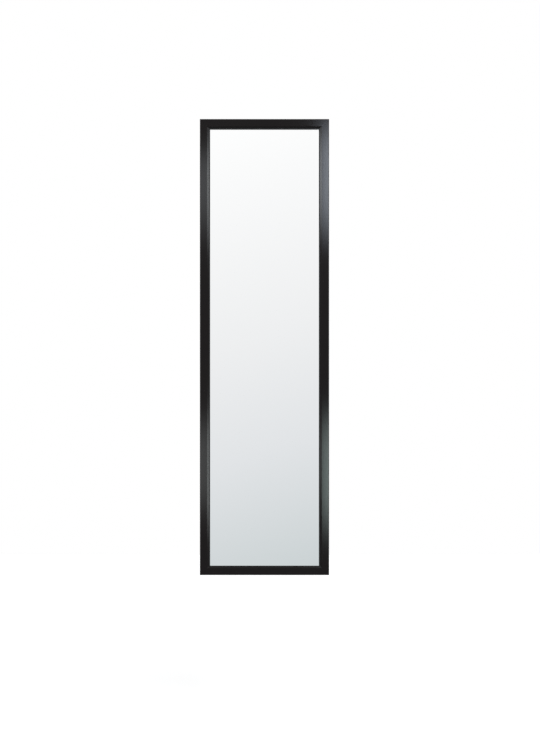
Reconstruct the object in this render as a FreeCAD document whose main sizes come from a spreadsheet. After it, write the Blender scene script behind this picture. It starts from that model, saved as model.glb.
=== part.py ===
"""Pull-out closet mirror: a framed full-length mirror on a sliding and swivelling arm.

The wall channel is screwed to the side panel of a wardrobe. A full-extension ball-bearing slide in it
carries an arm, and the mirror is hinged to the arm's front end, so it pulls out along +X and then turns
to face whoever stands in front of the wardrobe.

Frame: origin at the middle of the channel's back face, +X the way the mirror pulls out, -Y the way the
glass faces, +Z up. Sizes are in millimetres and degrees, and they live in the sheet "Sizes".
"""

import FreeCAD, Part
import math
import os
import re

import Sketcher
from FreeCAD import Placement, Rotation, Vector

SIZES = [
    # mirror frame: an extruded tube with a lip over the glass
    ("mirror_width", 340, "outside width of the frame"),
    ("mirror_height", 1200, "outside height of the frame"),
    ("profile_depth", 18, "front to back of the extrusion"),
    ("face_width", 24, "outer edge to the lip's edge"),
    ("bevel_width", 5, "slope on the inner edge of the face"),
    ("bevel_drop", 2, "how far the slope falls"),
    ("lip_thickness", 3, "face to the back of the lip"),
    ("edge_radius", 1.5, "rounding of the outer front edge"),
    ("back_radius", 0.8, "rounding of the outer back edge"),
    ("tube_width", 13.5, "width of the tube behind the lip"),
    ("profile_wall", 1.5, "wall of the tube"),
    ("hook_thickness", 1.2, "hook that traps the beads"),
    ("hook_reach", 1.4, "how far the hook overhangs the rebate"),
    # what the frame holds
    ("gasket_thickness", 1, "gasket between lip and glass"),
    ("gasket_show", 2.9, "gasket that shows inside the lip at the sides"),
    ("gasket_show_top", 3.8, "gasket that shows inside the lip at the top"),
    ("gasket_show_bottom", 0.5, "gasket that shows inside the lip at the bottom"),
    ("gasket_nose", 0.45, "rounding of the gasket's showing edge"),
    ("pane_clearance", 0.5, "glass edge to tube"),
    ("glass_thickness", 4, "mirror glass"),
    ("film_thickness", 0.3, "safety film on the silvered back"),
    ("board_thickness", 3, "hardboard back"),
    ("bead_width", 5, "foot of a retaining bead"),
    ("bead_top", 2, "top of a retaining bead"),
    ("bead_land", 1.5, "upright side of a retaining bead"),
    # corner keys
    ("key_reach", 45, "corner key, from the frame's corner"),
    ("key_clearance", 0.2, "corner key to tube"),
    ("set_screw_radius", 2.5, "corner set screw"),
    ("set_screw_length", 8, "corner set screw"),
    ("set_screw_place", 25, "set screw from the frame's corner"),
    ("set_screw_key", 1.25, "half width of the set screw's hex"),
    ("nut_strip_thickness", 2.5, "tapped strips inside the stiles"),
    ("nut_strip_margin", 12, "strip's end beyond its last screw"),
    # hinge plate on the back of the frame
    ("plate_thickness", 2.5, "hinge plate"),
    ("plate_margin", 2, "plate's ends inside the frame's edge"),
    ("band_height", 50, "plate's band across the frame"),
    ("front_ear_height", 180, "plate's ear on the front stile"),
    ("front_ear_width", 50, "plate's ear on the front stile"),
    ("rear_ear_height", 90, "plate's ear on the rear stile"),
    ("rear_ear_width", 20, "plate's ear on the rear stile"),
    ("ear_slope", 28, "length of the slope from band to ear"),
    ("plate_corner", 4, "rounding of the plate's corners"),
    ("front_screw_near", 68, "front ear screw from mid height"),
    ("front_screw_far", 82, "front ear screw from mid height"),
    ("rear_screw_far", 36, "rear ear screw from mid height"),
    ("plate_screw_radius", 2, "hinge plate screw's shank"),
    ("plate_screw_head", 3.9, "hinge plate screw's head"),
    ("plate_screw_sink", 1.9, "depth of its countersunk head"),
    ("plate_screw_length", 10, "hinge plate screw"),
    ("plate_screw_key", 1.25, "half width of its hex"),
    # hinge
    ("axis_inset", 7, "hinge axis from the frame's front edge"),
    ("barrel_clearance", 4, "barrel to the channel's front cap"),
    ("knuckle_radius", 6, "hinge knuckles and barrel"),
    ("knuckle_gap", 0.4, "barrel to the back of the frame"),
    ("barrel_height", 60, "barrel of the arm"),
    ("knuckle_height", 24.5, "each knuckle of the plate"),
    ("barrel_room", 7, "plate's edge back from the hinge axis"),
    ("notch_gap", 1, "pin's tail to the plate's ear"),
    ("web_lap", 1, "webs of the knuckles into the plate"),
    ("pin_radius", 3, "hinge pin"),
    ("pin_head_radius", 5, "hinge pin's head"),
    ("pin_head_height", 2.5, "hinge pin's head"),
    ("pin_head_chamfer", 1, "hinge pin's head"),
    ("pin_tail", 4, "pin below the lowest knuckle"),
    ("circlip_radius", 5.2, "circlip's outside"),
    ("circlip_thickness", 1, "circlip"),
    ("circlip_groove", 0.6, "depth of the circlip's groove"),
    ("circlip_gap", 3.6, "mouth of the circlip"),
    ("circlip_play", 0.1, "circlip to the lower knuckle"),
    ("bush_wall", 1, "wall of the barrel's bushes"),
    ("bush_length", 14, "bush inside the barrel"),
    ("bush_flange", 0.8, "flange of a bush"),
    ("bush_running", 0.1, "bush to pin, radial"),
    ("washer_thickness", 0.7, "friction washer"),
    ("swivel_limit", 120, "how far the mirror turns, in degrees"),
    ("stop_play", 0.3, "frame to stop lug at that limit"),
    ("stop_inset", 1, "stop lug's corner inside the frame's front edge at that limit"),
    ("stop_back", 5, "stop lug's far side from the hinge axis"),
    ("stop_height", 24, "stop lug"),
    # arm
    ("arm_thickness", 3, "arm plate"),
    ("arm_tail_inset", 20, "arm's tail from the slide's rear end"),
    ("arm_height", 32, "arm along the slide"),
    ("arm_neck", 55, "full height of the arm, back from the hinge axis"),
    ("arm_slope", 38, "length over which the arm widens"),
    ("arm_corner", 5, "rounding of the arm's corners"),
    ("arm_screw_radius", 2, "arm screw's shank"),
    ("arm_screw_head", 3.9, "arm screw's head"),
    ("arm_screw_sink", 1.9, "depth of its countersunk head"),
    ("arm_screw_length", 6, "arm screw"),
    ("arm_screw_key", 1.25, "half width of its hex"),
    ("arm_screw_rear", 54, "first arm screw from the arm's tail"),
    ("arm_screw_front", 34, "last arm screw from the slide's front end"),
    ("magnet_radius", 6, "catch magnet"),
    ("magnet_inset", 16, "catch magnet from the arm's tail"),
    ("stow_gap", 1.3, "arm to hinge plate when stowed"),
    ("touch_gap", 0.3, "magnet and buffers to the plate"),
    ("buffer_radius", 4, "arm buffer"),
    ("buffer_inset", 34, "arm buffers from the arm's tail"),
    ("buffer_spread", 18, "buffer to buffer"),
    # slide: three nested members with two rows of balls in each gap
    ("slide_length", 300, "closed slide"),
    ("slide_travel", 300, "full extension"),
    ("slide_depth", 12.7, "back of slide to its front"),
    ("slide_sheet", 1.2, "sheet of the members"),
    ("ball_radius", 1.9, "balls"),
    ("race_clearance", 0.1, "ball to race"),
    ("ball_line", 6.9, "ball rows from the slide's back"),
    ("outer_row", 19.65, "outer ball rows from mid height"),
    ("inner_row", 14.45, "inner ball rows from mid height"),
    ("race_offset", 1, "ball row to the flat of a flange"),
    ("flange_reach", 10, "flange tips from the slide's back"),
    ("web_gap", 1, "web to web"),
    ("cage_sheet", 0.5, "ball cages"),
    ("cage_reach", 9.6, "cage tips from the slide's back"),
    ("cage_hole_play", 0.1, "ball to its hole in the cage"),
    ("ball_end_room", 2, "last ball to the cage's end"),
    ("ball_pitch", 20, "ball to ball"),
    ("bumper_length", 5.7, "rubber at the closed end"),
    ("slide_play", 0.3, "end play against the stops"),
    ("stop_block_width", 20, "height of the end stops"),
    ("stop_lug", 4, "stop lugs along the slide"),
    ("stop_tab", 1.7, "stop tabs along the slide"),
    ("stop_tab_width", 10, "height of lugs and tabs"),
    ("stop_tab_height", 0.7, "how far lugs and tabs stand up"),
    # wall channel
    ("channel_height", 90, "channel"),
    ("channel_depth", 13.5, "channel"),
    ("channel_wall", 2, "channel's sheet"),
    ("channel_bend", 1.5, "rounding of the channel's bends"),
    ("mount_pitch_along", 224, "mounting holes, a multiple of 32"),
    ("mount_pitch_up", 64, "mounting holes, a multiple of 32"),
    ("mount_hole_radius", 2.75, "mounting holes"),
    ("rivet_radius", 2.5, "rivets"),
    ("rivet_inset", 25, "end rivets from the slide's ends"),
    ("rivet_near", 40, "inner rivets from the middle"),
    ("cap_thickness", 3, "end caps"),
    ("cap_plug", 6, "how far the caps' plugs reach in"),
    ("cap_plug_gap", 0.2, "plug to channel"),
    ("cap_slot_height", 48, "slot for the slide in the front cap"),
]

HALF_TURN = Rotation(Vector(0, 1, 0), 180)
LYING = Rotation(Vector(0, 1, 0), 90)
LYING_OVER = Rotation(Vector(0, 1, 0), -90)
HEAD_TO_WALL = Rotation(Vector(1, 0, 0), -90)
HEAD_TO_ROOM = Rotation(Vector(1, 0, 0), 90)
UPRIGHT = Rotation()
ACROSS, LENGTHWISE = Vector(0, 1, 0), Vector(1, 0, 0)
TINY = 1e-6

doc = FreeCAD.newDocument("PullOutMirror")
sheet = doc.addObject("Spreadsheet::Sheet", "Sizes")
for row, (alias, size, note) in enumerate(SIZES, 1):
    sheet.set(f"A{row}", note)
    sheet.set(f"B{row}", str(size))
    sheet.setAlias(f"B{row}", alias)
doc.recompute()

SIZE_NAME = re.compile(r"\b(" + "|".join(alias for alias, _, _ in SIZES) + r")\b")

# Distances from the wall, as formulas. The glass faces -Y, so a distance is a negative y.
ARM_BACK = "(channel_wall + slide_depth)"
ARM_FRONT = f"({ARM_BACK} + arm_thickness)"
PLATE_BACK = f"({ARM_FRONT} + stow_gap)"
FRAME_BACK = f"({PLATE_BACK} + plate_thickness)"
FRAME_FRONT = f"({FRAME_BACK} + profile_depth)"
AXIS_WALL = f"({FRAME_BACK} - knuckle_gap - knuckle_radius)"

# Places along X. The barrel stands just clear of the channel, and the frame's front edge beyond it.
AXIS_X = "(slide_length / 2 + cap_thickness + barrel_clearance + knuckle_radius)"
FRONT_EDGE = f"({AXIS_X} + axis_inset)"
REAR_EDGE = f"({FRONT_EDGE} - mirror_width)"
MIDDLE_X = f"({FRONT_EDGE} - mirror_width / 2)"
FRONT_SCREW_X, REAR_SCREW_X = f"({FRONT_EDGE} - tube_width / 2)", f"({REAR_EDGE} + tube_width / 2)"
ARM_TAIL = "(arm_tail_inset - slide_length / 2)"

# Depths behind the frame's front face of what the frame holds.
GLASS_FRONT = "(lip_thickness + gasket_thickness)"
GLASS_BACK = f"({GLASS_FRONT} + glass_thickness)"
FILM_BACK = f"({GLASS_BACK} + film_thickness)"
BOARD_BACK = f"({FILM_BACK} + board_thickness)"
PANE_EDGE = "(tube_width + pane_clearance)"

# Hinge heights above the middle.
FLANGE_TOP = "(barrel_height / 2 + bush_flange)"
KNUCKLE_START = f"({FLANGE_TOP} + washer_thickness)"
KNUCKLE_END = f"({KNUCKLE_START} + knuckle_height)"
CIRCLIP_TOP = f"(-{KNUCKLE_END} - circlip_play)"

# Slide: where the moving members start, and the room for the ball cages.
MEMBER_START = "(bumper_length + slide_play - slide_length / 2)"
MEMBER_LENGTH = f"(slide_length / 2 - {MEMBER_START})"
CAGE_OPEN_START = f"({MEMBER_START} + slide_travel / 2 + stop_lug + slide_play)"
CAGE_OPEN_END = "(slide_length / 2 - stop_tab - slide_play)"
CAGE_LENGTH = f"({CAGE_OPEN_END} - {CAGE_OPEN_START})"
CAGE_START = f"({CAGE_OPEN_START} - slide_travel / 4)"
RACE = "(ball_radius + race_clearance)"
GROOVE = f"sqrt({RACE} * {RACE} - race_offset * race_offset)"
RIDGE_RADIUS, RIDGE_OFFSET = f"({RACE} + slide_sheet)", "(race_offset + slide_sheet)"
RIDGE = f"sqrt({RIDGE_RADIUS} * {RIDGE_RADIUS} - {RIDGE_OFFSET} * {RIDGE_OFFSET})"
MIDDLE_BACK = "(slide_sheet + web_gap)"
MIDDLE_FRONT = f"({MIDDLE_BACK} + slide_sheet)"
INNER_TIP = f"({MIDDLE_FRONT} + web_gap)"
CAGE_PLAY = "((web_gap - cage_sheet) / 2)"


# ---- helpers ---------------------------------------------------------------------------------------


def with_sheet(formula):
    """The formula with each size name turned into a reference to the sheet."""
    return SIZE_NAME.sub(r"Sizes.\1", str(formula))


def number(formula):
    """What the formula comes to."""
    return float(sheet.evalExpression(with_sheet(formula)))


def bind(item, path, formula):
    """Ties one property of an object to the sheet."""
    item.setExpression(path, with_sheet(formula))


def set_down(item, x="0", y="0", z="0", rotation=UPRIGHT):
    """Gives an object its rotation, and its place from three formulas."""
    item.Placement = Placement(Vector(), rotation)
    for letter, formula in (("x", x), ("y", y), ("z", z)):
        bind(item, f"Placement.Base.{letter}", formula)
    return item


def new_body(name):
    return doc.addObject("PartDesign::Body", name)


def plane(body, role):
    """One of the body's own origin planes."""
    return next(f for f in body.Origin.OriginFeatures if f.Role == role)


def new_sketch(body, role, offset="0"):
    """A sketch on an origin plane of the body, moved along the plane's normal by offset."""
    made = body.newObject("Sketcher::SketchObject", body.Name + "Sketch")
    made.AttachmentSupport = [(plane(body, role), "")]
    made.MapMode = "FlatFace"
    bind(made, "AttachmentOffset.Base.z", offset)
    return made


def pin_down(sketch, side, end, x, y):
    """Holds one end of a side at (x, y) from the sketch's origin."""
    for kind, formula in (("DistanceX", x), ("DistanceY", y)):
        index = sketch.addConstraint(
            Sketcher.Constraint(kind, -1, 1, side, end, number(formula))
        )
        bind(sketch, f"Constraints[{index}]", formula)


def draw_outline(sketch, points):
    """A closed outline. A point is (x, y), or (x, y, radius, turn) where an arc of that radius starts,
    which turns anticlockwise for 1 and clockwise for -1."""
    first = sketch.GeometryCount
    spots = [Vector(number(p[0]), number(p[1]), 0) for p in points]
    turns = [p[3] if len(p) == 4 else 0 for p in points]
    ends = {1: (1, 2), 0: (1, 2), -1: (2, 1)}
    for i, point in enumerate(points):
        start, stop = spots[i], spots[(i + 1) % len(points)]
        if not turns[i]:
            sketch.addGeometry(Part.LineSegment(start, stop))
            continue
        radius = number(point[2])
        chord = stop - start
        rise = math.sqrt(max(radius**2 - (chord.Length / 2) ** 2, 0))
        left = Vector(-chord.y, chord.x, 0).normalize()
        centre = start + chord * 0.5 + left * rise * turns[i]
        low, high = (start, stop) if turns[i] > 0 else (stop, start)
        circle = Part.Circle(centre, Vector(0, 0, 1), radius)
        sketch.addGeometry(
            Part.ArcOfCircle(circle, circle.parameter(low), circle.parameter(high))
        )
    for i, point in enumerate(points):
        following = (i + 1) % len(points)
        here, there = ends[turns[i]], ends[turns[following]]
        sketch.addConstraint(
            Sketcher.Constraint(
                "Coincident", first + i, here[1], first + following, there[0]
            )
        )
        pin_down(sketch, first + i, here[0], point[0], point[1])
        if turns[i]:
            index = sketch.addConstraint(
                Sketcher.Constraint("Radius", first + i, number(point[2]))
            )
            bind(sketch, f"Constraints[{index}]", point[2])


def draw_box(sketch, left, low, right, high):
    draw_outline(sketch, [(left, low), (right, low), (right, high), (left, high)])


def both_halves(upper):
    """The upper half of an outline, followed by its mirror image below, run backwards."""
    lower = []
    for i in range(len(upper) - 1, -1, -1):
        arc = upper[i - 1][2:] if i else ()
        lower.append((upper[i][0], f"-({upper[i][1]})", *arc))
    return upper + lower


def draw_circle(sketch, x, y, radius):
    circle = Part.Circle(Vector(number(x), number(y), 0), Vector(0, 0, 1), number(radius))
    side = sketch.addGeometry(circle)
    pin_down(sketch, side, 3, x, y)
    index = sketch.addConstraint(Sketcher.Constraint("Radius", side, number(radius)))
    bind(sketch, f"Constraints[{index}]", radius)


def pad(body, sketch, length, symmetric=False):
    """Adds the sketch's outline, pulled along its normal, or half each way."""
    made = body.newObject("PartDesign::Pad", body.Name + "Pad")
    made.Profile = sketch
    bind(made, "Length", length)
    made.SideType = "Symmetric" if symmetric else "One side"
    return made


def cut_through(body, sketch):
    """Cuts the sketch's outline through the whole body, both ways."""
    made = body.newObject("PartDesign::Pocket", body.Name + "Cut")
    made.Profile = sketch
    made.Type = "ThroughAll"
    made.SideType = "Symmetric"
    return made


def cut_in(body, sketch, depth, forward=False):
    """Cuts the outline to a depth against the sketch's normal, or along it."""
    made = body.newObject("PartDesign::Pocket", body.Name + "Cut")
    made.Profile = sketch
    bind(made, "Length", depth)
    made.Reversed = forward
    return made


def mirror_over(body, feature, role):
    made = body.newObject("PartDesign::Mirrored", body.Name + "Mirrored")
    made.Originals = [feature]
    made.MirrorPlane = (plane(body, role), [""])
    body.Tip = made
    return made


def countersink(body, sketch, radius, head_radius, forward=False):
    """Countersunk through holes at the sketch's circles."""
    doc.recompute()
    made = body.newObject("PartDesign::Hole", body.Name + "Hole")
    made.Profile = sketch
    made.ThreadType = "None"
    made.DepthType = "ThroughAll"
    made.HoleCutType = "Countersink"
    made.HoleCutCustomValues = True
    made.HoleCutCountersinkAngle = 90
    bind(made, "Diameter", f"2 * {radius}")
    bind(made, "HoleCutDiameter", f"2 * {head_radius}")
    made.Reversed = forward
    return made


def round_edges(body, radius, chosen):
    """Fillets the edges of the body so far that chosen(edge) picks."""
    doc.recompute()
    base = body.Tip
    names = [f"Edge{i}" for i, e in enumerate(base.Shape.Edges, 1) if chosen(e)]
    made = body.newObject("PartDesign::Fillet", body.Name + "Fillet")
    made.Base = (base, names)
    bind(made, "Radius", radius)
    return made


def runs_along(edge, axis):
    """True for a straight edge along that axis."""
    if not isinstance(edge.Curve, Part.Line):
        return False
    return abs(edge.Curve.Direction.dot(axis)) > 1 - TINY


def spin(body, points):
    """Turns a half outline in the XZ plane about the body's Z axis."""
    made_sketch = new_sketch(body, "XZ_Plane")
    draw_outline(made_sketch, points)
    made = body.newObject("PartDesign::Revolution", body.Name + "Turn")
    made.Profile = made_sketch
    made.ReferenceAxis = (made_sketch, ["V_Axis"])
    made.Angle = 360
    return made


def labelled(item, label):
    """Gives a sub-part the label that names its file."""
    item.Label = label
    return item


def repeated(label, master, spots):
    """Copies of one small piece, each at (x, y, z, rotation), as one sub-part."""
    copies = []
    for x, y, z, rotation in spots:
        copy = doc.addObject("App::Link", label + "_copy")
        copy.LinkedObject = master
        copy.LinkTransform = False
        copies.append(set_down(copy, x, y, z, rotation))
    group = doc.addObject("Part::Compound", label)
    group.Links = copies
    return labelled(group, label)


# ---- mirror frame ----------------------------------------------------------------------------------


HALF_HEIGHT = "(mirror_height / 2)"
FRONT_SCREWS = ["front_screw_near", "front_screw_far", "-front_screw_near", "-front_screw_far"]
REAR_SCREWS = ["rear_screw_far", "0", "-rear_screw_far"]

# The frame's sides: name, length, x, z, rotation and the heights of the hinge plate's screws.
SIDES = [
    ("left", "mirror_height", REAR_EDGE, "0", UPRIGHT, REAR_SCREWS),
    ("right", "mirror_height", FRONT_EDGE, "0", HALF_TURN, FRONT_SCREWS),
    ("top", "mirror_width", MIDDLE_X, HALF_HEIGHT, LYING, []),
    ("bottom", "mirror_width", MIDDLE_X, f"-{HALF_HEIGHT}", LYING_OVER, []),
]

# The frame's corners: name, x, the sign of inward in x, z, the sign of inward in z, and the quarter
# turns from the first corner.
CORNERS = [
    ("bottom_left", REAR_EDGE, "+", f"-{HALF_HEIGHT}", "+", 0),
    ("bottom_right", FRONT_EDGE, "-", f"-{HALF_HEIGHT}", "+", 1),
    ("top_right", FRONT_EDGE, "-", HALF_HEIGHT, "-", 2),
    ("top_left", REAR_EDGE, "+", HALF_HEIGHT, "-", 3),
]


def mitred_strip(name, outline, length, reach, cavity=None, start="0", slopes=("1", "1")):
    """An extruded strip along Z, mitred so that it is shorter the further it is from the frame's edge. Its
    section runs inward from that edge in x and back from the face in y. The slopes are those of its far and
    near mitre, 1 for 45 degrees, and hold from start inward."""
    body = new_body(name)
    section = new_sketch(body, "XY_Plane")
    draw_outline(section, outline)
    if cavity:
        draw_box(section, *cavity)
    pad(body, section, length, symmetric=True)
    ends = new_sketch(body, "XZ_Plane")
    outside, beyond = f"-({reach})", f"(2 * {reach})"
    for sign, slope in zip(("", "-"), slopes):
        longest = f"({length} / 2 - {start} + {slope} * ({reach} + {start}))"
        shortest = f"({length} / 2 - {start} - {slope} * ({beyond} - {start}))"
        corners = [(outside, longest), (beyond, longest), (beyond, shortest)]
        draw_outline(ends, [(x, f"{sign}{z}") for x, z in corners])
    cut_through(body, ends)
    return body


def frame_rails():
    """The extruded sides of the frame, with holes in their backs for the screws that they take."""
    hook_front, hook_edge = "profile_depth - hook_thickness", "tube_width + hook_reach"
    outline = [
        ("edge_radius", "0"),
        ("face_width - bevel_width", "0"),
        ("face_width", "bevel_drop"),
        ("face_width", "lip_thickness"),
        ("tube_width", "lip_thickness"),
        ("tube_width", hook_front),
        (hook_edge, hook_front),
        (hook_edge, "profile_depth"),
        ("back_radius", "profile_depth", "back_radius", 1),
        ("0", "profile_depth - back_radius"),
        ("0", "edge_radius", "edge_radius", 1),
    ]
    inside, back = "tube_width - profile_wall", "profile_depth - profile_wall"
    rails = []
    for name, length, x, z, rotation, screws in SIDES:
        cavity = ("profile_wall", "profile_wall", inside, back)
        rail = mitred_strip("frame_" + name, outline, length, "face_width", cavity)
        holes = new_sketch(rail, "XZ_Plane", "-profile_depth")
        for sign in ("", "-"):
            height = f"{sign}({length} / 2 - set_screw_place)"
            draw_circle(holes, "tube_width / 2", height, "set_screw_radius")
        for height in screws:
            draw_circle(holes, "tube_width / 2", height, "plate_screw_radius")
        cut_in(rail, holes, "profile_wall", forward=True)
        set_down(rail, x, f"-{FRAME_FRONT}", z, rotation)
        kind = "stile" if length == "mirror_height" else "rail"
        rails.append(labelled(rail, f"frame_{name}_{kind}"))
    return rails


def strip_inside_frame(label, side, outline, reach, **mitres):
    """A mitred strip along one side of the frame."""
    name, length, x, z, rotation, _ = side
    strip = mitred_strip(f"{label}_{name}", outline, length, reach, **mitres)
    set_down(strip, x, f"-{FRAME_FRONT}", z, rotation)
    return labelled(strip, f"{label}_{name}")


def glazing_gaskets():
    """Strips between lip and glass. Their mitres run from the pane's corners to those of the opening."""
    beside = "(face_width + gasket_show)"
    above, below = "(face_width + gasket_show_top)", "(face_width + gasket_show_bottom)"
    noses = [(beside, above, below), (beside, below, above), (above, beside, beside), (below, beside, beside)]
    strips = []
    for side, (nose, far_nose, near_nose) in zip(SIDES, noses):
        outline = [
            (PANE_EDGE, "lip_thickness"),
            (f"{nose} - gasket_nose", "lip_thickness", "gasket_nose", 1),
            (nose, "lip_thickness + gasket_nose"),
            (nose, GLASS_FRONT),
            (PANE_EDGE, GLASS_FRONT),
        ]
        slopes = [f"(({end} - {PANE_EDGE}) / ({nose} - {PANE_EDGE}))" for end in (far_nose, near_nose)]
        mitres = {"start": PANE_EDGE, "slopes": slopes}
        strips.append(strip_inside_frame("glazing_gasket", side, outline, nose, **mitres))
    return strips


def retaining_beads():
    """Strips that snap in between the board and the frame's hook."""
    edge, hook_front = "(tube_width + bead_width)", "profile_depth - hook_thickness"
    outline = [
        ("tube_width", BOARD_BACK),
        (edge, BOARD_BACK),
        (edge, f"{BOARD_BACK} + bead_land"),
        ("tube_width + bead_top", hook_front),
        ("tube_width", hook_front),
    ]
    return [strip_inside_frame("retaining_bead", side, outline, edge) for side in SIDES]


def pane(label, front, thickness):
    """A flat sheet in the frame's rebate, its front that deep behind the frame's face."""
    made = doc.addObject("Part::Box", label)
    bind(made, "Length", f"mirror_width - 2 * {PANE_EDGE}")
    bind(made, "Width", thickness)
    bind(made, "Height", f"mirror_height - 2 * {PANE_EDGE}")
    set_down(made, f"{REAR_EDGE} + {PANE_EDGE}", f"{front} - {FRAME_FRONT}", f"{PANE_EDGE} - {HALF_HEIGHT}")
    return labelled(made, label)


def panes():
    return [
        pane("mirror_glass", GLASS_FRONT, "glass_thickness"),
        pane("safety_film", GLASS_BACK, "film_thickness"),
        pane("backing_board", FILM_BACK, "board_thickness"),
    ]


def corner_keys():
    """L-shaped keys inside the tubes, each held by two set screws."""
    near, far = "(profile_wall + key_clearance)", "(tube_width - profile_wall - key_clearance)"
    keys = []
    for name, x, _, z, _, quarters in CORNERS:
        key = new_body("corner_key_" + name)
        outline = new_sketch(key, "XZ_Plane", f"-{near}")
        arm_end = "key_reach"
        corners = [(near, near), (arm_end, near), (arm_end, far), (far, far), (far, arm_end), (near, arm_end)]
        draw_outline(outline, corners)
        pad(key, outline, f"profile_depth - 2 * {near}").Reversed = True
        holes = new_sketch(key, "XZ_Plane", "-profile_depth")
        draw_circle(holes, "tube_width / 2", "set_screw_place", "set_screw_radius")
        draw_circle(holes, "set_screw_place", "tube_width / 2", "set_screw_radius")
        cut_in(key, holes, "set_screw_length", forward=True)
        turn = Rotation(Vector(0, 1, 0), -90 * quarters)
        set_down(key, x, f"-{FRAME_FRONT}", z, turn)
        keys.append(labelled(key, "corner_key_" + name))
    return keys


def hex_socket(body, half_width, depth):
    """A hexagon socket in the top of a screw that stands under z = 0."""
    top = new_sketch(body, "XY_Plane")
    across = f"{half_width} / cos(30deg)"
    corners = [(f"{across} * cos({60 * i}deg)", f"{across} * sin({60 * i}deg)") for i in range(6)]
    draw_outline(top, corners)
    cut_in(body, top, depth)


def corner_set_screws():
    screw = new_body("set_screw")
    end = new_sketch(screw, "XY_Plane")
    draw_circle(end, "0", "0", "set_screw_radius")
    pad(screw, end, "set_screw_length").Reversed = True
    hex_socket(screw, "set_screw_key", "set_screw_length / 2")
    near, far = "tube_width / 2", "set_screw_place"
    spots = []
    for _, x, inward_x, z, inward_z, _ in CORNERS:
        for inset_x, inset_z in ((near, far), (far, near)):
            spot = (f"{x} {inward_x} {inset_x}", f"-{FRAME_BACK}", f"{z} {inward_z} {inset_z}")
            spots.append((*spot, HEAD_TO_WALL))
    return repeated("corner_set_screws", screw, spots)


# ---- hinge -----------------------------------------------------------------------------------------


PLATE_SCREWS = [(FRONT_SCREW_X, z) for z in FRONT_SCREWS] + [(REAR_SCREW_X, z) for z in REAR_SCREWS]


def countersunk_screw(name, radius, head_radius, sink, length, socket):
    """A countersunk screw that stands under z = 0."""
    screw = new_body(name)
    shank = [(radius, f"-{sink}"), (radius, f"-{length}"), ("0", f"-{length}")]
    spin(screw, [("0", "0"), (head_radius, "0")] + shank)
    hex_socket(screw, socket, sink)
    return screw


def nut_strip(label, x, heights, last):
    """A tapped strip inside a stile, against the wall that the hinge plate is screwed to."""
    strip = new_body(label)
    length = f"2 * ({last} + nut_strip_margin)"
    width = "(tube_width - 2 * profile_wall - 2 * key_clearance)"
    bar = new_sketch(strip, "XZ_Plane")
    draw_box(bar, f"-{width} / 2", f"-{length} / 2", f"{width} / 2", f"{length} / 2")
    for height in heights:
        draw_circle(bar, "0", height, "plate_screw_radius")
    pad(strip, bar, "nut_strip_thickness")
    set_down(strip, x, f"-({FRAME_BACK} + profile_wall)")
    return labelled(strip, label)


def hinge_plate():
    """The plate across the frame's back, with a knuckle above and one below the arm's barrel."""
    plate = new_body("hinge_plate")
    front_end, rear_end = f"({FRONT_EDGE} - plate_margin)", f"({REAR_EDGE} + plate_margin)"
    front_ear, rear_ear = f"({front_end} - front_ear_width)", f"({rear_end} + rear_ear_width)"
    notch_x, notch_z = f"({AXIS_X} - barrel_room)", f"({KNUCKLE_END} + pin_tail + notch_gap)"
    upper = [
        (rear_end, "rear_ear_height / 2"),
        (rear_ear, "rear_ear_height / 2"),
        (f"{rear_ear} + ear_slope", "band_height / 2"),
        (f"{front_ear} - ear_slope", "band_height / 2"),
        (front_ear, "front_ear_height / 2"),
        (front_end, "front_ear_height / 2"),
        (front_end, notch_z),
        (notch_x, notch_z),
    ]
    outline = new_sketch(plate, "XZ_Plane", PLATE_BACK)
    draw_outline(outline, both_halves(upper))
    pad(plate, outline, "plate_thickness")
    inner_x = number(f"{notch_x} - plate_corner")
    round_edges(plate, "plate_corner", lambda e: runs_along(e, ACROSS) and e.Vertexes[0].X < inner_x)

    webs = new_sketch(plate, "XZ_Plane", PLATE_BACK)
    for sign in ("", "-"):
        draw_box(webs, f"{notch_x} - web_lap", sign + KNUCKLE_START, AXIS_X, sign + KNUCKLE_END)
    pad(plate, webs, "plate_thickness")
    ring = new_sketch(plate, "XY_Plane", KNUCKLE_START)
    draw_circle(ring, AXIS_X, f"-{AXIS_WALL}", "knuckle_radius")
    mirror_over(plate, pad(plate, ring, "knuckle_height"), "XY_Plane")
    bore = new_sketch(plate, "XY_Plane")
    draw_circle(bore, AXIS_X, f"-{AXIS_WALL}", "pin_radius")
    cut_through(plate, bore)

    holes = new_sketch(plate, "XZ_Plane", PLATE_BACK)
    for x, z in PLATE_SCREWS:
        draw_circle(holes, x, z, "plate_screw_radius")
    countersink(plate, holes, "plate_screw_radius", "plate_screw_head", forward=True)
    return labelled(plate, "hinge_plate")


def hinge_plate_screws():
    sizes = ["plate_screw_radius", "plate_screw_head", "plate_screw_sink", "plate_screw_length"]
    screw = countersunk_screw("plate_screw", *sizes, "plate_screw_key")
    spots = [(x, f"-{PLATE_BACK}", z, HEAD_TO_WALL) for x, z in PLATE_SCREWS]
    return repeated("hinge_plate_screws", screw, spots)


def hinge_pin():
    pin = new_body("hinge_pin")
    head_top, tail = f"({KNUCKLE_END} + pin_head_height)", f"-({KNUCKLE_END} + pin_tail)"
    neck, groove_low = "pin_radius - circlip_groove", f"{CIRCLIP_TOP} - circlip_thickness"
    outline = [
        ("0", head_top),
        ("0", tail),
        ("pin_radius", tail),
        ("pin_radius", groove_low),
        (neck, groove_low),
        (neck, CIRCLIP_TOP),
        ("pin_radius", CIRCLIP_TOP),
        ("pin_radius", KNUCKLE_END),
        ("pin_head_radius", KNUCKLE_END),
        ("pin_head_radius", f"{head_top} - pin_head_chamfer"),
        ("pin_head_radius - pin_head_chamfer", head_top),
    ]
    spin(pin, outline)
    return labelled(set_down(pin, AXIS_X, f"-{AXIS_WALL}"), "hinge_pin")


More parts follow.
